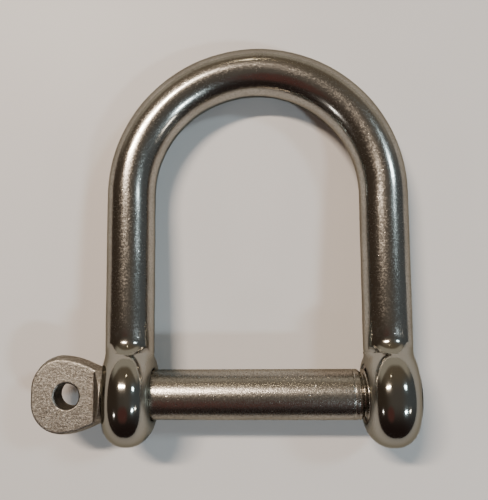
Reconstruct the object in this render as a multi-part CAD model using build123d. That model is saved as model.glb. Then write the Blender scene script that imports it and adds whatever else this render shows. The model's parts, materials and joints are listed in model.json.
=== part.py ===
from build123d import *

import math
import os

# Wide dee shackle for a 12 mm screw pin, lying flat as it does on a bench.
# Millimetres. X runs along the pin towards the threaded eye, Y points from the
# pin to the crown, Z is up. The origin is on the pin's axis, midway between
# the two eyes.

# ---- driving dimensions -------------------------------------------------

# Bow
rod_diameter = 12.0           # round bar that the legs and crown are bent from
leg_gap = 51.1                # clear width between the straight legs
inside_length = 68.7          # from the pin to the inside of the crown

# Pin
pin_diameter = 12.0
thread_pitch = 1.75
thread_lead_in = 2.8          # thread showing on the jaw side of its eye
tip_length = 1.0              # plain tip beyond the last thread
tip_set_back = 1.0            # tip is this far inside its eye's outer face
runout_groove_width = 1.2
runout_groove_depth = 0.45

# Eyes at the two ends of the bow
eye_wall = 6.4                # metal between the pin and the eye's rim
eye_inner_step = 0.1          # eye's inner face stands this far inside its leg
eye_outer_step = 0.7          # eye's outer face stands this far outside its leg
inner_land = 1.8              # flat ring around the pin on the jaw side
outer_land = 1.7              # flat ring around the pin on the outside
seat_depth = 1.2              # round recess in the plain eye that the head's shoulder sits in
seat_clearance = 0.3          # radial, shoulder in its recess
pin_clearance = 0.25          # radial, pin shank in the plain eye
thread_clearance = 0.08       # radial, thread crests in the threaded eye

# Flat head of the pin, turned with a bar or a key through its hole
tab_thickness = 6.0
tab_width = 19.2              # at the parting line, half way up its edge
tab_reach = 9.4               # from the hole's axis to the far edge
tab_corner_radius = 8.0
tab_taper_length = 7.8        # from the seat to where the tab is full width
tab_neck_width = 12.4         # at the seat
tab_draft = 16.0              # degrees, from the parting line to each flat face
tab_edge_rounding = 0.4
tab_hole_diameter = 6.0
tab_hole_chamfer = 0.4
tab_hole_distance = 9.25      # from the seat to the hole's axis
shoulder_width = 0.7          # step from the shank out to the shoulder
shoulder_length = 0.4
ramp_slope = 61.0             # degrees, of the ramps from the shoulder to the flat tab
leg_root_clearance = 3.3      # from the shoulder's rim to where the leg's round end starts

# ---- sizes that follow --------------------------------------------------

rod_radius = rod_diameter / 2
pin_radius = pin_diameter / 2
shoulder_radius = pin_radius + shoulder_width
leg_x = leg_gap / 2 + rod_radius
leg_root_y = shoulder_radius + leg_root_clearance
bend_radius = leg_x
crown_y = pin_radius + inside_length + rod_radius
bend_y = crown_y - bend_radius
eye_radius = pin_radius + eye_wall
eye_inner_x = leg_gap / 2 - eye_inner_step
eye_outer_x = leg_gap / 2 + rod_diameter + eye_outer_step
eye_thickness = eye_outer_x - eye_inner_x
eye_inner_rounding = min(eye_wall - inner_land, 0.45 * eye_thickness)
eye_outer_rounding = min(eye_wall - outer_land, 0.5 * eye_thickness)
seat_x = -(eye_outer_x - seat_depth)
tip_x = eye_outer_x - tip_set_back
tab_hole_x = seat_x - tab_hole_distance

# The eyes are thicker than the rod, so the bow lies tipped towards its crown.
lean = math.degrees(math.asin((eye_radius - rod_radius) / crown_y))


def turned(points_and_arcs):
    """Solid of revolution about the X axis from a closed half profile."""
    return revolve(make_face(points_and_arcs), Axis.X, 360)


def rod():
    """Straight legs and half-round crown, with rounded leg ends."""
    path = Line((-leg_x, leg_root_y, 0), (-leg_x, bend_y, 0))
    path += CenterArc((0, bend_y, 0), bend_radius, 0, 180)
    path += Line((leg_x, bend_y, 0), (leg_x, leg_root_y, 0))
    section = Plane.XZ.offset(-leg_root_y) * Pos(-leg_x, 0) * Circle(rod_radius)
    bar = sweep(section, path=path)
    for side in (-1, 1):
        bar += Pos(side * leg_x, leg_root_y, 0) * Sphere(rod_radius)
    return bar


def eye(side):
    """Barrel with a rounded rim, squatter on the jaw side than outside."""
    blank = Cylinder(eye_radius, eye_thickness, rotation=(0, 90, 0))
    blank = fillet(blank.edges().sort_by(Axis.X)[0], eye_inner_rounding)
    outer_rim = blank.edges().filter_by(GeomType.CIRCLE).sort_by(Axis.X)[-1]
    blank = fillet(outer_rim, eye_outer_rounding)
    placed = Pos(eye_inner_x + eye_thickness / 2, 0, 0) * blank
    if side < 0:
        placed = mirror(placed, about=Plane.YZ)
    return placed


def pin_hole(side, radius):
    """Cutter for one eye's hole, a little longer than the eye."""
    length = 2 * eye_thickness
    middle = side * (eye_inner_x + eye_thickness / 2)
    return Pos(middle, 0, 0) * Cylinder(radius, length, rotation=(0, 90, 0))


def bow():
    body = rod() + eye(-1) + eye(1)
    body -= pin_hole(-1, pin_radius + pin_clearance)
    body -= pin_hole(1, pin_radius + thread_clearance)
    recess = Cylinder(shoulder_radius + seat_clearance, 2 * seat_depth, rotation=(0, 90, 0))
    return body - Pos(-eye_outer_x, 0, 0) * recess


def shank():
    """Shank with a run-out groove, V-shaped thread rings and a plain tip."""
    thread_start = eye_inner_x - thread_lead_in
    crest_flat = thread_pitch / 8
    root_flat = thread_pitch / 4
    flank = (thread_pitch - crest_flat - root_flat) / 2
    root_radius = pin_radius - flank * math.sqrt(3)
    groove_radius = pin_radius - runout_groove_depth
    points = [
        (seat_x, 0),
        (seat_x, pin_radius),
        (thread_start - runout_groove_width, pin_radius),
        (thread_start - runout_groove_width, groove_radius),
        (thread_start, groove_radius),
    ]
    turns = int((tip_x - tip_length - thread_start) / thread_pitch)
    for turn in range(turns):
        crest = thread_start + turn * thread_pitch + flank
        points += [
            (crest, pin_radius),
            (crest + crest_flat, pin_radius),
            (crest + crest_flat + flank, root_radius),
            (crest + crest_flat + flank + root_flat, root_radius),
        ]
    points += [(tip_x, root_radius), (tip_x, 0)]
    return turned(Polyline(*points, close=True))


def tab():
    """Flat plate that narrows to the shoulder, drafted both ways from its parting line."""
    far_x = tab_hole_x - tab_reach
    widest_x = seat_x - tab_taper_length
    half_width = tab_width / 2
    half_neck = tab_neck_width / 2
    outline = make_face(
        Polyline(
            (seat_x, half_neck),
            (widest_x, half_width),
            (far_x, half_width),
            (far_x, -half_width),
            (widest_x, -half_width),
            (seat_x, -half_neck),
            close=True,
        )
    )
    corners = outline.vertices().filter_by_position(Axis.X, far_x, widest_x)
    outline = fillet(corners, tab_corner_radius)
    upper_half = extrude(outline, tab_thickness / 2, taper=tab_draft)
    plate = upper_half + mirror(upper_half, about=Plane.XY)
    outline_edges = plate.faces().filter_by(Axis.Z).edges()
    outline_edges = outline_edges.filter_by_position(Axis.X, -math.inf, seat_x - shoulder_length)
    plate = fillet(outline_edges, tab_edge_rounding)
    hole_radius = tab_hole_diameter / 2
    plate -= Pos(tab_hole_x, 0, 0) * Cylinder(hole_radius, 2 * tab_thickness)
    mouths = plate.edges().filter_by(GeomType.CIRCLE)
    mouths = mouths.filter_by(lambda edge: abs(edge.radius - hole_radius) < 0.01)
    return chamfer(mouths, tab_hole_chamfer)


def shoulder():
    """Round shoulder on the plain eye's seat, with a flat ramp down to each face of the tab."""
    shoulder_x = seat_x - shoulder_length
    ramp_length = (shoulder_radius - tab_thickness / 2) / math.tan(math.radians(ramp_slope))
    ramp_foot_x = shoulder_x - ramp_length
    side_view = Polyline(
        (seat_x, shoulder_radius),
        (shoulder_x, shoulder_radius),
        (ramp_foot_x, tab_thickness / 2),
        (ramp_foot_x, -tab_thickness / 2),
        (shoulder_x, -shoulder_radius),
        (seat_x, -shoulder_radius),
        close=True,
    )
    wedge = extrude(Plane.XZ * make_face(side_view), shoulder_radius, both=True)
    blank = Pos(seat_x, 0, 0) * Cylinder(shoulder_radius, 2 * tab_hole_distance, rotation=(0, 90, 0))
    return wedge & blank


def pin():
    return shank() + shoulder() + tab()


as_it_lies = Rot(-lean, 0, 0)
os.makedirs("parts", exist_ok=True)
export_step(as_it_lies * bow(), "parts/bow.step")
export_step(as_it_lies * pin(), "parts/pin.step")
print(f"bow leans {lean:.2f} degrees, crown axis {crown_y:.1f} from the pin axis")
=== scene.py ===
import json
import math

import bpy
import numpy as np
from mathutils import Matrix, Vector


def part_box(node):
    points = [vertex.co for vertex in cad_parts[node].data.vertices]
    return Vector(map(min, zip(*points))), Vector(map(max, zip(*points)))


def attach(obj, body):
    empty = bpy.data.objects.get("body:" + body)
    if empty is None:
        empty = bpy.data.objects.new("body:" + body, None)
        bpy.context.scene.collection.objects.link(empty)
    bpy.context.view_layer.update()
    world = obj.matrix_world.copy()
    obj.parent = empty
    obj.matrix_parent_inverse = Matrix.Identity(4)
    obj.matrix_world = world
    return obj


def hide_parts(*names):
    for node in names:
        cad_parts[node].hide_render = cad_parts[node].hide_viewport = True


# A wide dee shackle of stainless steel, lying flat on a pale board. The bow and the
# pin's head are meshed from smooth distance fields, the shank and the threads as
# helical grids. Lengths are millimetres up to the last step, which makes metres.

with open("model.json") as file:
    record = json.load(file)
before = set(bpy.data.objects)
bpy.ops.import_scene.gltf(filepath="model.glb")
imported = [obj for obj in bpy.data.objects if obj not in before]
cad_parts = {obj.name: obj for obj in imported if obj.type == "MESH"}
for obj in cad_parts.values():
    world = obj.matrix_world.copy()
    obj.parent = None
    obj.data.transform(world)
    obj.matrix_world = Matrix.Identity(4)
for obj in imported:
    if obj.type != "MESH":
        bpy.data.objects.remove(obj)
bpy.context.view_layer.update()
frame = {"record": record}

MM = 0.001

# ---- sizes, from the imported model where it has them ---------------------

bow_low, bow_high = (np.array(corner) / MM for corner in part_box("bow"))
pin_low, pin_high = (np.array(corner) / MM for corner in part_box("pin"))
tab_hole = next(mount for mount in frame["record"]["mounts"] if mount["name"] == "tab_hole")

# Bow
rod_radius = 6.0
leg_gap = 51.1
leg_x = leg_gap / 2 + rod_radius
leg_root_y = 10.0                       # where each leg's round end starts
bend_radius = leg_x
eye_radius = bow_high[2]
crown_reach = bow_high[1] - rod_radius
crown_drop = eye_radius - rod_radius
crown_y = math.hypot(crown_reach, crown_drop)
lean = math.atan2(crown_drop, crown_reach)
bend_y = crown_y - bend_radius
floor_z = bow_low[2]
forging_waves = 0.025                   # slow unevenness of the whole bow

# Eyes: thickest at the parting plane, with drafted faces and a round rim. A pair is
# the left eye's value and the right eye's.
eye_inner_x = leg_gap / 2 - 0.1
eye_outer_x = bow_high[0] - 0.05
eye_inner_draft = (0.02, 0.02)
eye_outer_draft = (0.28, 0.12)
eye_inner_rounding = (4.3, 4.5)
eye_outer_rounding = (5.4, 5.6)
parting_rounding = 6.1                  # of both rims, at the parting plane
parting_softness = 1.5                  # how far from that plane the faces turn over
crest_flat = 0.3

# Holes in the eyes
plain_hole_radius = 6.25
tapped_hole_radius = 6.95
mouth_width = 0.25                      # bevel on the jaw side
tapped_mouth_share = 0.3
hole_edge_softness = 0.5

# Neck, where each leg grows out of its eye
neck_rounding = 2.6                     # over the leg's middle
neck_side_rounding = 0.4                # along the leg's sides
neck_side_x = 5.8                       # from the leg's middle to those sides
neck_flattening = 0.13                  # share by which the leg's end is lower
neck_flat_y = 11.5
neck_flat_reach = 4.0
neck_fill = 0.3                         # by which the eye's rim stands out into the neck
neck_fill_start_y = 6.5
neck_fill_length = 6.0

# Line that the forging die left across each neck
die_line_y = 10.3
die_line_half_width = 0.17
die_line_depth = (0.03, 0.01)           # left, right
die_line_jaw_depth = 0.10               # added on the right leg's jaw side
die_line_jaw_x = leg_x - 1.8            # where that has half gone
die_line_jaw_fade = 0.3

# Pin and threads
pin_radius = 6.0
thread_pitch = 1.75
thread_depth = 0.9
thread_start_x = 23.6
thread_fade = 1.2
turned_line_x = 22.65
tip_chamfer_length = 1.6
tip_chamfer_slope = 1.2
socket_start_x = eye_inner_x + 0.5
socket_end_x = eye_outer_x - 0.5
socket_crest_radius = 6.1
socket_root_radius = 6.85
socket_back_radius = tapped_hole_radius + 0.3
socket_fade = 0.4

# Pin's head: a shoulder on its seat in the plain eye, two ramps and a drafted tab
shoulder_radius = pin_high[2]
shoulder_length = 0.4
shoulder_rounding = 0.3
seat_depth = 1.2
seat_clearance = 0.3
seat_edge_softness = 0.25
seat_x = -(bow_high[0] - seat_depth)
recess_radius = shoulder_radius + seat_clearance
tab_far_x = pin_low[0]
tab_half = 3.0
tab_half_width = 9.6
tab_corner_radius = 8.0
tab_neck_half = 6.2
tab_taper_length = 7.8
tab_taper = (tab_half_width - tab_neck_half) / tab_taper_length
tab_taper_softness = 1.6
tab_draft = math.tan(math.radians(16.0))
tab_parting_softness = 0.3
tab_edge_rounding = 0.4
tab_hole_x = tab_hole["pos_m"][0] / MM
tab_hole_radius = tab_hole["dims"]["r_mm"]
tab_hole_bevel = 0.35
tab_hole_softness = 0.15
drill_ring_height = 0.012
drill_ring_pitch = 0.85
ramp_slope = math.radians(61.0)
ramp_softness = 0.35
ramp_foot_x = seat_x - shoulder_length - (shoulder_radius - tab_half) / math.tan(ramp_slope)


# ---- distance fields -----------------------------------------------------

def smooth_union(a, b, width):
    """What is in either field, with the inner corner softened over a width."""
    blend = np.clip(0.5 + 0.5 * (b - a) / width, 0.0, 1.0)
    return b + (a - b) * blend - width * blend * (1.0 - blend)


def smooth_cut(a, b, width):
    """What is in both fields, with the edge between them softened over a width."""
    return -smooth_union(-a, -b, width)


def round_union(a, b, radius):
    """What is in either field, with the inner corner filled to a radius."""
    corner = np.hypot(np.maximum(radius - a, 0.0), np.maximum(radius - b, 0.0))
    return np.maximum(np.minimum(a, b), radius) - corner


def round_cut(a, b, radius):
    """What is in both fields, with the edge between them rounded to a radius."""
    corner = np.hypot(np.maximum(a + radius, 0.0), np.maximum(b + radius, 0.0))
    return np.minimum(np.maximum(a, b), -radius) + corner


def rod_field(p):
    """Straight legs with round ends, and the half-round crown."""
    over_bend = np.abs(np.hypot(p[:, 0], p[:, 1] - bend_y) - bend_radius)
    over_leg = np.abs(np.abs(p[:, 0]) - leg_x)
    sideways = np.where(p[:, 1] > bend_y, over_bend, over_leg)
    past_end = np.minimum(p[:, 1] - leg_root_y, 0.0)
    at_neck = np.exp(-np.square((p[:, 1] - neck_flat_y) / neck_flat_reach))
    height = p[:, 2] * (1.0 + neck_flattening * at_neck)
    return np.sqrt(sideways**2 + height**2 + past_end**2) - rod_radius


def eye_field(p):
    """Forged barrel, with its faces drafted from the parting plane and its rim rounded."""
    def by_side(pair):
        return np.where(p[:, 0] < 0, pair[0], pair[1])

    height = np.hypot(p[:, 2], parting_softness) - parting_softness
    outer = eye_outer_x - by_side(eye_outer_draft) * height
    inner = eye_inner_x + by_side(eye_inner_draft) * height
    half = (outer - inner) / 2
    faces = np.abs(np.abs(p[:, 0]) - (outer + inner) / 2) - half
    from_axis = np.hypot(p[:, 1], p[:, 2])
    jaw_half = np.abs(p[:, 0]) < (outer + inner) / 2
    rounding = np.where(jaw_half, by_side(eye_inner_rounding), by_side(eye_outer_rounding))
    upright = np.square(p[:, 2] / np.maximum(from_axis, 1.0))
    rounding = parting_rounding + (rounding - parting_rounding) * upright
    rounding = np.minimum(rounding, half - crest_flat)
    fill = np.clip((p[:, 1] - neck_fill_start_y) / neck_fill_length, 0.0, 1.0)
    fill = neck_fill * fill**2 * (3.0 - 2.0 * fill)
    return round_cut(from_axis - eye_radius - fill, faces, rounding)


def uneven(p):
    """Slow unevenness of a forging: two sets of long crossed waves."""
    x, y, z = p[:, 0], p[:, 1], p[:, 2]
    wave = np.sin(0.31 * x + 1.3) * np.sin(0.27 * y + 0.4)
    wave += 0.6 * np.sin(0.53 * y + 0.35 * x) * np.sin(0.6 * z + 2.0)
    return forging_waves * wave


def die_line(p):
    """Shallow wandering groove across each neck, deepest on the right leg's jaw side."""
    x, y, z = p[:, 0], p[:, 1], p[:, 2]
    wander = 0.12 * np.sin(1.1 * x) + 0.08 * np.sin(2.3 * z + 1.0)
    across = np.exp(-np.square((y - die_line_y - wander) / die_line_half_width))
    jaw_side = 1.0 / (1.0 + np.exp((x - die_line_jaw_x) / die_line_jaw_fade))
    left, right = die_line_depth
    return np.where(x > 0, right + die_line_jaw_depth * jaw_side, left) * across


def bow_field(p):
    off_middle = np.square((np.abs(p[:, 0]) - leg_x) / neck_side_x)
    over_middle = np.clip(1.0 - off_middle, 0.0, 1.0)
    rounding = neck_side_rounding + (neck_rounding - neck_side_rounding) * over_middle
    body = round_union(rod_field(p), eye_field(p), rounding)
    body = body + uneven(p) + forging_waves + die_line(p)
    from_axis = np.hypot(p[:, 1], p[:, 2])
    into_mouth = np.abs(p[:, 0]) - eye_inner_x
    mouth = mouth_width * np.clip(1.0 - into_mouth / mouth_width, 0.0, 1.0)
    plain = np.where(p[:, 0] < seat_x, recess_radius, plain_hole_radius + mouth)
    tapped = tapped_hole_radius + tapped_mouth_share * mouth
    hole = np.where(p[:, 0] > 0, tapped, plain) - from_axis
    return smooth_cut(body, hole, hole_edge_softness)


def head_field(p):
    """Drafted tab with rounded corners, its hole, and the shoulder with a ramp to each face."""
    x, y, z = p[:, 0], np.abs(p[:, 1]), np.abs(p[:, 2])
    corner = round_cut(tab_far_x - x, y - tab_half_width, tab_corner_radius)
    taper = ((x - seat_x) * tab_taper + y - tab_neck_half) / math.hypot(1.0, tab_taper)
    outline = smooth_cut(corner, taper, tab_taper_softness)
    height = np.hypot(z, tab_parting_softness) - tab_parting_softness
    drafted = (outline + height * tab_draft) / math.hypot(1.0, tab_draft)
    plate = round_cut(drafted, z - tab_half, tab_edge_rounding)
    ramp = (z - tab_half) * math.cos(ramp_slope) - (x - ramp_foot_x) * math.sin(ramp_slope)
    barrel = np.hypot(y, z) - shoulder_radius
    wedge = round_cut(ramp, barrel, shoulder_rounding)
    head = smooth_union(plate, wedge, ramp_softness)
    head = smooth_cut(head, x - seat_x, seat_edge_softness)
    drill_rings = drill_ring_height * np.sin(2 * math.pi * z / drill_ring_pitch)
    bevel = np.maximum(z - (tab_half - tab_hole_bevel), 0.0)
    hole = tab_hole_radius + drill_rings + bevel - np.hypot(x - tab_hole_x, y)
    return smooth_cut(head, hole, tab_hole_softness)


# ---- meshing ---------------------------------------------------------------

SETTLING_ROUNDS = 6
LEAST_SLOPE_SQUARED = 0.05              # keeps a flat spot from throwing a point far


def gradient(field, points, reach=0.02):
    slope = np.empty_like(points)
    for axis in range(3):
        step = np.zeros(3)
        step[axis] = reach
        slope[:, axis] = (field(points + step) - field(points - step)) / (2 * reach)
    return slope


def steps(*stretches):
    """Grid places along one axis, from (start, end, step) stretches that follow on."""
    places = [np.arange(start, end, step) for start, end, step in stretches]
    return np.concatenate(places + [[stretches[-1][1]]])


def edge_ends(axis, others=slice(None)):
    """Indices of the near and far ends of all grid edges along one axis."""
    near = [others] * 3
    far = [others] * 3
    near[axis] = slice(0, -1)
    far[axis] = slice(1, None)
    return tuple(near), tuple(far)


def crossings(grid, values):
    """For each grid cell, the sum and number of the places where its edges are crossed."""
    inside = values < 0
    cells = np.array(values.shape) - 1
    total = np.zeros((*cells, 3))
    hits = np.zeros(cells)
    for axis in range(3):
        near, far = edge_ends(axis)
        a, b = values[near], values[far]
        crossing = inside[near] != inside[far]
        share = np.where(crossing, a / np.where(crossing, a - b, 1.0), 0.0)
        place = grid[near].copy()
        place[..., axis] += share * (grid[far][..., axis] - place[..., axis])
        place *= crossing[..., None]
        first, second = (i for i in range(3) if i != axis)
        for i in (0, 1):
            for j in (0, 1):
                part = [slice(None)] * 3
                part[first] = slice(i, i + cells[first])
                part[second] = slice(j, j + cells[second])
                total += place[tuple(part)]
                hits += crossing[tuple(part)]
    return total, hits


def edge_quads(inside, number):
    """A quad round each crossed grid edge, from the numbers of its four cells' points."""
    quads = []
    for axis in range(3):
        near, far = edge_ends(axis, slice(1, -1))
        start, end = inside[near], inside[far]
        spots = np.argwhere(start != end)
        leaving = start[tuple(spots.T)]
        first, second = (i for i in range(3) if i != axis)
        ring = []
        for i, j in ((0, 0), (1, 0), (1, 1), (0, 1)):
            cell = spots.copy()
            cell[:, first] += i
            cell[:, second] += j
            ring.append(number[tuple(cell.T)])
        ring = np.stack(ring, axis=1)
        flip = leaving if axis == 1 else ~leaving
        ring[flip] = ring[flip][:, ::-1]
        quads.append(ring)
    return np.concatenate(quads)


def surface_net(field, *axes):
    """Closed quad mesh of a field's zero surface, with the surface's own normals."""
    grid = np.stack(np.meshgrid(*axes, indexing="ij"), axis=-1)
    values = field(grid.reshape(-1, 3)).reshape(grid.shape[:3])
    total, hits = crossings(grid, values)
    used = hits > 0
    number = -np.ones(used.shape, dtype=int)
    number[used] = np.arange(used.sum())
    points = total[used] / hits[used][:, None]
    quads = edge_quads(values < 0, number)

    step = min(np.diff(axis).min() for axis in axes)
    for _ in range(SETTLING_ROUNDS):
        slope = gradient(field, points)
        size = np.maximum((slope**2).sum(axis=1), LEAST_SLOPE_SQUARED)
        move = field(points) / size
        points -= slope * np.clip(move, -step, step)[:, None]
    slope = gradient(field, points)
    normals = slope / np.linalg.norm(slope, axis=1, keepdims=True)
    return points, quads, normals


def make_piece(name, points, faces, normals, material):
    """Mesh object in metres from points and faces in millimetres."""
    mesh = bpy.data.meshes.new(name)
    mesh.from_pydata((points * MM).tolist(), [], [list(face) for face in faces])
    mesh.materials.append(material)
    mesh.shade_smooth()
    if normals is not None:
        mesh.normals_split_custom_set_from_vertices(normals.tolist())
    piece = bpy.data.objects.new(name, mesh)
    bpy.context.collection.objects.link(piece)
    return piece


def leaned(points):
    """From the bow's own plane to how it lies, crown down."""
    c, s = math.cos(lean), math.sin(lean)
    turned = points.copy()
    turned[:, 1] = c * points[:, 1] + s * points[:, 2]
    turned[:, 2] = -s * points[:, 1] + c * points[:, 2]
    return turned


# ---- threads ---------------------------------------------------------------

AROUND = 112
ROWS_PER_TURN = 16
WELD = 1e-4
NEARLY_CLOSED = 0.02                    # radius of the last ring in a flat end

# Across half a thread's pitch, from the middle of its root: where the crest starts, and
# how much of it is flank
THREAD_CREST = 0.87
THREAD_FLANK = 0.7

# Turned line before the thread: distance from its middle, depth
TURNED_LINE = (
    (-0.35, 0.0), (-0.25, 0.0), (-0.15, 0.04), (-0.08, 0.12), (0.08, 0.14),
    (0.16, 0.05), (0.24, 0.0), (0.32, 0.0), (0.5, 0.0),
)


def thread_groove(x, theta):
    """Depth share of the thread at a place round the pin: 0 on a crest, 1 in the root."""
    phase = (x - thread_start_x) / thread_pitch - theta / (2 * math.pi)
    from_root = abs((phase % 1.0) - 0.5) * 2
    return min(max((THREAD_CREST - from_root) / THREAD_FLANK, 0.0), 1.0)


def pin_thread_radius(x, theta):
    fade_in = min(max((x - thread_start_x) / thread_fade, 0.0), 1.0)
    radius = pin_radius - thread_depth * fade_in * thread_groove(x, theta)
    into_chamfer = max(0.0, x - (pin_high[0] - tip_chamfer_length))
    return min(radius, pin_radius - into_chamfer * tip_chamfer_slope)


def socket_thread_radius(x, theta):
    fade = min((x - socket_start_x) / socket_fade, (socket_end_x - x) / socket_fade, 1.0)
    height = (socket_root_radius - socket_crest_radius) * max(fade, 0.0)
    return socket_root_radius - height * thread_groove(x, theta)


def welded(points, faces):
    """Merge points that coincide and drop the faces that closed up."""
    keys = np.round(points / WELD).astype(int)
    _, first, number = np.unique(keys, axis=0, return_index=True, return_inverse=True)
    number = number.ravel()
    kept = []
    for face in faces:
        corners = []
        for corner in face:
            corner = int(number[corner])
            if corner not in corners:
                corners.append(corner)
        if len(corners) > 2:
            kept.append(tuple(corners))
    return points[first], kept


def lathe(rings, helix):
    """Closed skin from plain rings (x, radius), with a helical stretch in place of None.

    helix is (start x, end x, radius function of x and angle). Its rows follow the
    thread and are cut off square at both ends.
    """
    angle = 2 * math.pi * np.arange(AROUND) / AROUND
    points = []
    faces = []

    def add_ring(x, radius):
        first = len(points)
        for theta in angle:
            points.append((x, radius * math.cos(theta), radius * math.sin(theta)))
        return first

    def join(first, second):
        for i in range(AROUND):
            j = (i + 1) % AROUND
            faces.append((first + i, first + j, second + j, second + i))

    def add_helix(start, end, radius_at):
        row_height = thread_pitch / ROWS_PER_TURN
        rows = int((end - start + 2 * thread_pitch) / row_height)
        base = len(points)
        for row in range(rows + 1):
            for theta in angle:
                x = start - thread_pitch + row * row_height
                x += thread_pitch * theta / (2 * math.pi)
                x = min(max(x, start), end)
                radius = radius_at(x, theta)
                points.append((x, radius * math.cos(theta), radius * math.sin(theta)))
        for row in range(rows):
            a = base + row * AROUND
            for i in range(AROUND - 1):
                faces.append((a + i, a + i + 1, a + i + 1 + AROUND, a + i + AROUND))
            if row + ROWS_PER_TURN < rows:
                last, ahead = a + AROUND - 1, a + ROWS_PER_TURN * AROUND
                faces.append((last, ahead, ahead + AROUND, last + AROUND))

    previous = None
    for ring in rings:
        if ring is None:
            start, end, radius_at = helix
            join(previous, add_ring(start, radius_at(start, 0.0)))
            add_helix(start, end, radius_at)
            previous = add_ring(end, radius_at(end, 0.0))
        else:
            current = add_ring(*ring)
            if previous is not None:
                join(previous, current)
            previous = current
    return welded(np.array(points), faces)


def shank_rings():
    """Pin shank from inside the head to its tip, with a turned line before the thread."""
    hidden_end = seat_x - 1.0
    plain_end = turned_line_x - 0.45
    tip_radius = pin_thread_radius(pin_high[0], 0.0)
    rings = [
        (hidden_end, NEARLY_CLOSED),
        (hidden_end, pin_radius - 0.4),
        (hidden_end + 0.4, pin_radius),
    ]
    count = 40
    for i in range(count + 1):
        rings.append((seat_x + (plain_end - seat_x) * i / count, pin_radius))
    for offset, depth in TURNED_LINE:
        rings.append((turned_line_x + offset, pin_radius - depth))
    rings += [
        None,
        (pin_high[0], tip_radius - 0.5),
        (pin_high[0], pin_radius / 2),
        (pin_high[0], NEARLY_CLOSED),
    ]
    return rings


# ---- materials, with noise scales per metre and bump distances in metres ---------

# Where the bow's finish changes: from bright eyes to brushed bar, and from the dull
# ring beside the pin on the eyes' inner faces
satin_y = (10.0 * MM, 17.0 * MM)
dull_ring_x = (25.7 * MM, 27.2 * MM)
dull_ring_y = (8.0 * MM, 12.0 * MM)
# Painted shade in the tab's hole: the radii over which its darkening fades out
hole_shade_band = ((tab_hole_radius + 0.05) * MM, (tab_hole_radius + 0.25) * MM)


class Nodes:
    """Short calls for building the node tree of a material or the world."""

    def __init__(self, owner, coordinates):
        owner.use_nodes = True
        self.tree = owner.node_tree
        self.coords = self.new("ShaderNodeTexCoord").outputs[coordinates]

    def new(self, kind, **settings):
        node = self.tree.nodes.new(kind)
        for key, value in settings.items():
            setattr(node, key, value)
        return node

    def feed(self, node, **inputs):
        """Link inputs or set them to numbers or colours. A _ in a name stands for a space."""
        for key, value in inputs.items():
            self.feed_socket(node.inputs[key.replace("_", " ")], value)

    def feed_socket(self, socket, value):
        if isinstance(value, tuple):
            socket.default_value = (*value, 1.0)
        elif isinstance(value, (int, float)):
            socket.default_value = value
        else:
            self.tree.links.new(value, socket)

    def split(self, vector):
        node = self.new("ShaderNodeSeparateXYZ")
        self.feed(node, Vector=vector)
        return node.outputs

    def scaled(self, vector, factors):
        node = self.new("ShaderNodeMapping")
        node.inputs["Scale"].default_value = factors
        self.feed(node, Vector=vector)
        return node.outputs["Vector"]

    def noise(self, scale, detail=3.0, rough=0.55, vector=None):
        node = self.new("ShaderNodeTexNoise")
        self.feed(node, Scale=scale, Detail=detail, Roughness=rough)
        self.feed(node, Vector=vector or self.coords)
        return node.outputs["Fac"]

    def ramp(self, source, low, high, out_low=0.0, out_high=1.0):
        node = self.new("ShaderNodeMapRange", interpolation_type="SMOOTHSTEP")
        self.feed(node, Value=source, From_Min=low, From_Max=high)
        self.feed(node, To_Min=out_low, To_Max=out_high)
        return node.outputs["Result"]

    def math(self, operation, *values):
        """An operation on one or two values, or on more of them from left to right."""
        result = values[0]
        for value in values[1:] or (0.0,):
            node = self.new("ShaderNodeMath", operation=operation)
            self.feed_socket(node.inputs[0], result)
            self.feed_socket(node.inputs[1], value)
            result = node.outputs[0]
        return result

    def mix(self, factor, first, second):
        node = self.new("ShaderNodeMix", data_type="RGBA")
        self.feed(node, Factor=factor, A=first, B=second)
        return node.outputs["Result"]


class Surface(Nodes):
    """The node tree of one material, with its shader."""

    def __init__(self, name):
        self.material = bpy.data.materials.new(name)
        super().__init__(self.material, "Object")
        self.shader = self.tree.nodes["Principled BSDF"]

    def pitted(self, scale, detail, rough, low, high):
        """Height of 1, with pits down to 0 where the noise is above low to high."""
        pits = self.ramp(self.noise(scale, detail, rough), low, high)
        return self.math("SUBTRACT", 1.0, pits)

    def bumps(self, *layers):
        """Shader's normal from layers of height, distance and strength, the lowest first."""
        normal = None
        for height, distance, strength in layers:
            node = self.new("ShaderNodeBump")
            self.feed(node, Height=height, Distance=distance, Strength=strength)
            if normal is not None:
                self.feed(node, Normal=normal)
            normal = node.outputs["Normal"]
        self.feed(self.shader, Normal=normal)


def along_the_bar(m):
    """Coordinates with the length along the bent bar first, then distance in X and height."""
    x, y, z = m.split(m.coords)
    from_middle = m.math("ABSOLUTE", x)
    from_bend = m.math("SUBTRACT", y, bend_y * MM)
    angle = m.math("ARCTAN2", from_bend, from_middle)
    round_bend = m.math("MAXIMUM", m.math("MULTIPLY", angle, bend_radius * MM), 0.0)
    straight = m.math("MINIMUM", from_bend, 0.0)
    join = m.new("ShaderNodeCombineXYZ")
    m.feed(join, X=m.math("ADD", round_bend, straight), Y=from_middle, Z=z)
    return join.outputs[0]


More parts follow.
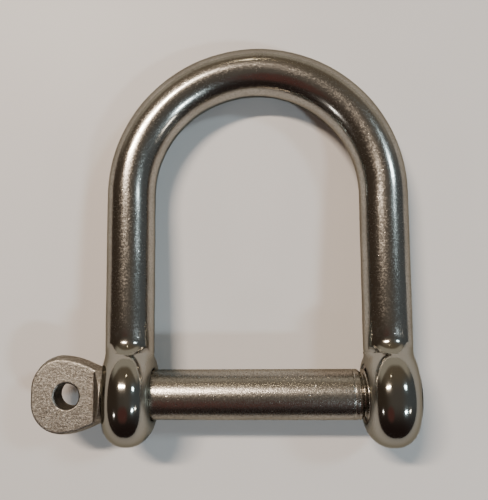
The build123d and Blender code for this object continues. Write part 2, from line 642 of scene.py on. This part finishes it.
def bow_metal(name):
    """Polished stainless bar: brushed round its section, pitted, with mirror-bright eyes."""
    m = Surface(name)
    x, y, _ = m.split(m.coords)
    satin = m.ramp(y, *satin_y)
    patches = m.ramp(m.noise(110, 4), 0.35, 0.68)
    specks = m.math("MULTIPLY", m.ramp(m.noise(2100, 3, 0.65), 0.42, 0.66), satin)
    bar = m.mix(patches, (0.40, 0.38, 0.34), (0.33, 0.31, 0.275))
    bow = m.mix(satin, (0.325, 0.315, 0.28), bar)
    colour = m.mix(m.math("MULTIPLY", specks, 0.5), bow, (0.17, 0.155, 0.135))

    grain = m.ramp(m.noise(4200, 3, 0.6), 0.3, 0.7)
    inner_face = m.ramp(m.math("ABSOLUTE", x), *dull_ring_x, 1.0, 0.0)
    beside_pin = m.ramp(y, *dull_ring_y, 1.0, 0.0)
    rough = m.math(
        "ADD",
        0.09,
        m.math("MULTIPLY", satin, 0.03),
        m.math("MULTIPLY", grain, 0.03),
        m.math("MULTIPLY", patches, satin, 0.03),
        m.math("MULTIPLY", specks, 0.115),
        m.math("MULTIPLY", inner_face, beside_pin, 0.30),
    )

    brushed = m.noise(1.0, 3, 0.6, m.scaled(along_the_bar(m), (5200, 260, 260)))
    m.bumps(
        (m.math("MULTIPLY", brushed, satin), 0.00002, 0.30),
        (m.math("MULTIPLY", m.pitted(1500, 2, 0.5, 0.66, 0.78), satin), 0.00003, 0.35),
        (m.noise(420, 2, 0.5), 0.0001, 0.035),
        (m.pitted(300, 1, 0.4, 0.76, 0.80), 0.0001, 0.25),
    )
    m.feed(m.shader, Base_Color=colour, Roughness=rough, Metallic=1.0)
    m.feed(m.shader, Specular_Tint=(0.38, 0.37, 0.33))
    return m.material


def pin_metal(name):
    """Turned and tumbled stainless: fine sandy grain with streaks along the pin."""
    m = Surface(name)
    patches = m.ramp(m.noise(1.0, 4, 0.6, m.scaled(m.coords, (60, 400, 400))), 0.35, 0.65)
    specks = m.ramp(m.noise(2300, 3, 0.65), 0.42, 0.64)
    shank = m.mix(patches, (0.42, 0.395, 0.35), (0.32, 0.30, 0.265))
    colour = m.mix(m.math("MULTIPLY", specks, 0.5), shank, (0.15, 0.135, 0.115))
    rough = m.math(
        "ADD",
        m.ramp(m.noise(3600, 3, 0.65), 0.3, 0.7, 0.16, 0.24),
        m.math("MULTIPLY", patches, 0.03),
        m.math("MULTIPLY", specks, 0.09),
    )
    m.bumps(
        (m.noise(1.0, 3, 0.6, m.scaled(m.coords, (500, 2600, 2600))), 0.00004, 0.30),
        (m.noise(2300, 4, 0.75), 0.00005, 0.7),
        (m.pitted(1300, 1, 0.5, 0.70, 0.78), 0.00006, 0.45),
    )
    m.feed(m.shader, Base_Color=colour, Roughness=rough, Metallic=1.0)
    m.feed(m.shader, Specular_Tint=(0.45, 0.43, 0.38))
    return m.material


def tab_metal(name):
    """Cast tab: sandy, dull and speckled, with painted shade on the wall of its hole."""
    m = Surface(name)
    patches = m.ramp(m.noise(700, 4, 0.65), 0.35, 0.65)
    specks = m.ramp(m.noise(1700, 3, 0.7), 0.38, 0.62)
    tab = m.mix(patches, (0.42, 0.395, 0.35), (0.31, 0.29, 0.255))
    tab = m.mix(m.math("MULTIPLY", specks, 0.8), tab, (0.17, 0.15, 0.125))

    x, y, _ = m.split(m.coords)
    from_hole = m.math("SUBTRACT", x, tab_hole_x * MM)
    reach = m.math("ADD", m.math("POWER", from_hole, 2.0), m.math("POWER", y, 2.0))
    # Painted shade: the hole's wall is darkened to stand in for shade inside the hole
    painted_hole_shade = m.ramp(m.math("SQRT", reach), *hole_shade_band, 0.75, 0.0)
    colour = m.mix(painted_hole_shade, tab, (0.10, 0.09, 0.08))
    rough = m.ramp(m.noise(2600, 3, 0.6), 0.3, 0.7, 0.30, 0.50)
    m.bumps(
        (m.noise(1900, 4, 0.75), 0.00012, 0.9),
        (m.noise(500, 2, 0.5), 0.0001, 0.12),
    )
    m.feed(m.shader, Base_Color=colour, Roughness=rough, Metallic=1.0)
    m.feed(m.shader, Specular_Tint=(0.35, 0.33, 0.29))
    return m.material


def dark_metal(name):
    """Oily, unpolished thread metal inside the tapped eye."""
    m = Surface(name)
    oil = m.ramp(m.noise(900, 3), 0.3, 0.7)
    colour = m.mix(oil, (0.30, 0.27, 0.23), (0.20, 0.18, 0.15))
    rough = m.ramp(m.noise(2600, 3), 0.3, 0.7, 0.30, 0.45)
    m.bumps((m.noise(2600, 3, 0.7), 0.00005, 0.4))
    m.feed(m.shader, Base_Color=colour, Roughness=rough, Metallic=1.0)
    return m.material


def board_paint(name):
    """Smooth pale board, very slightly clouded."""
    m = Surface(name)
    cloud = m.ramp(m.noise(9, 3), 0.3, 0.7)
    colour = m.mix(cloud, (0.60, 0.575, 0.555), (0.63, 0.605, 0.585))
    m.bumps((m.noise(700, 2), 0.0001, 0.02))
    m.feed(m.shader, Base_Color=colour, Roughness=0.42, Specular_IOR_Level=0.25)
    return m.material


# ---- pieces ----------------------------------------------------------------

bow_steel = bow_metal("bow_steel")
pin_steel = pin_metal("pin_steel")
tab_steel = tab_metal("tab_steel")
thread_steel = dark_metal("thread_steel")

margin = 1.0                            # by which a grid is larger than what is meshed in it


def build_bow():
    across = steps((-eye_outer_x - margin, eye_outer_x + margin, 0.4))
    along = steps(
        (-eye_radius - margin, 8.6, 0.4),
        (8.6, 12.4, 0.13),              # fine enough for the die line
        (12.4, 17.0, 0.3),
        (17.0, crown_y + rod_radius + margin, 0.5),
    )
    up = steps((-eye_radius - margin, eye_radius + margin, 0.4))
    points, quads, normals = surface_net(bow_field, across, along, up)
    piece = make_piece("bow_forging", leaned(points), quads, leaned(normals), bow_steel)
    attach(piece, "bow")
    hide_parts("bow")


def build_head():
    across = steps((tab_far_x - margin, seat_x + margin, 0.22))
    along = steps((-tab_half_width - margin, tab_half_width + margin, 0.22))
    up = steps((-shoulder_radius - margin, shoulder_radius + margin, 0.2))
    points, quads, normals = surface_net(head_field, across, along, up)
    piece = make_piece("pin_head", leaned(points), quads, leaned(normals), tab_steel)
    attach(piece, "pin")
    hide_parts("pin")


def build_shank():
    helix = (turned_line_x + 0.6, pin_high[0], pin_thread_radius)
    points, faces = lathe(shank_rings(), helix)
    piece = make_piece("pin_shank", leaned(points), faces, None, pin_steel)
    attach(piece, "pin")
    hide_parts("pin")


def build_socket_thread():
    start = (socket_start_x, socket_back_radius)
    end = (socket_end_x, socket_back_radius)
    helix = (socket_start_x, socket_end_x, socket_thread_radius)
    points, faces = lathe([start, None, end, start], helix)
    faces = [face[::-1] for face in faces]
    piece = make_piece("eye_thread", leaned(points), faces, None, thread_steel)
    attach(piece, "bow")
    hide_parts("bow")


build_bow()
build_head()
build_shank()
build_socket_thread()


# ---- board, camera and lights, in metres -------------------------------------

LAMP_AIM = Vector((0.0, 0.035, 0.0))

# Name, tilts from vertical towards +X and +Y, width and depth as seen from the aim,
# all four in degrees, watts, colour
LAMPS = (
    ("lamp_white", -21, 28, 18, 3, 12.5, (1.0, 0.84, 0.70)),
    ("lamp_blue", 42, 27, 8, 6, 2.8, (0.68, 0.88, 1.0)),
    ("lamp_blue_low", 37, -30, 7, 4, 3.2, (0.70, 0.88, 1.0)),
    ("far_left", -55, -43, 3, 3, 0.5, (1.0, 0.97, 0.95)),
    ("far_right", 57, -37, 3, 3, 0.5, (1.0, 0.95, 0.85)),
    ("far_warm", -4, 53, 3, 2, 0.15, (1.0, 0.85, 0.6)),
)


def build_floor():
    half = 0.7
    mesh = bpy.data.meshes.new("board")
    corners = [(-half, -half), (half, -half), (half, half), (-half, half)]
    mesh.from_pydata([(x, y, floor_z * MM) for x, y in corners], [], [(0, 1, 2, 3)])
    mesh.materials.append(board_paint("board_white"))
    floor = bpy.data.objects.new("board", mesh)
    bpy.context.collection.objects.link(floor)


def build_camera():
    """Hand-held close view from above, a little off square."""
    height = 0.1503
    data = bpy.data.cameras.new("camera")
    data.lens = 40.7
    data.clip_start = 0.01
    camera = bpy.data.objects.new("camera", data)
    bpy.context.collection.objects.link(camera)
    camera.location = (0.0021, 0.0329, floor_z * MM + height)
    camera.rotation_mode = "YXZ"
    camera.rotation_euler = (math.radians(0.89), math.radians(2.18), math.radians(-0.63))
    bpy.context.scene.camera = camera


def build_lamp(name, tilt_x, tilt_y, width, depth, power, colour):
    """Area light a metre from the aim, turned to face it, with its width along X."""
    data = bpy.data.lights.new(name, "AREA")
    data.shape = "RECTANGLE"
    data.size = 2 * math.tan(math.radians(width / 2))
    data.size_y = 2 * math.tan(math.radians(depth / 2))
    data.energy = power
    data.color = colour
    light = bpy.data.objects.new(name, data)
    bpy.context.collection.objects.link(light)
    slant_x, slant_y = math.tan(math.radians(tilt_x)), math.tan(math.radians(tilt_y))
    direction = Vector((slant_x, slant_y, 1.0)).normalized()
    side = (Vector((1.0, 0.0, 0.0)) - direction * direction.x).normalized()
    light.location = LAMP_AIM + direction
    light.rotation_euler = Matrix((side, direction.cross(side), direction)).transposed().to_euler()


def build_world():
    """Dim room: brown left, cool right, dark in front and warm beyond the crown.

    A pale band lies low beyond the crown, and a dull red patch high in front.
    """
    world = bpy.data.worlds.new("room")
    bpy.context.scene.world = world
    m = Nodes(world, "Generated")
    x, y, z = m.split(m.coords)

    room = m.mix(m.ramp(x, -0.75, 0.0), (0.085, 0.062, 0.045), (0.16, 0.14, 0.12))
    room = m.mix(m.ramp(x, 0.1, 0.8), room, (0.14, 0.155, 0.165))
    room = m.mix(m.ramp(y, 0.25, 0.95), room, (0.24, 0.19, 0.13))
    room = m.mix(m.ramp(y, -0.95, -0.1), (0.035, 0.022, 0.020), room)

    towards_patch = m.new("ShaderNodeVectorMath", operation="DOT_PRODUCT")
    towards_patch.inputs[1].default_value = Vector((-0.18, -0.52, 0.84)).normalized()
    m.feed_socket(towards_patch.inputs[0], m.coords)
    patch = m.ramp(towards_patch.outputs["Value"], 0.92, 0.995)
    room = m.mix(patch, room, (0.17, 0.070, 0.060))

    low_band = m.mix(m.ramp(z, 0.24, 0.36), (0.62, 0.56, 0.46), room)
    room = m.mix(m.ramp(y, 0.35, 0.75), room, low_band)
    m.feed(m.tree.nodes["Background"], Color=room)


build_floor()
build_camera()
for lamp in LAMPS:
    build_lamp(*lamp)
build_world()
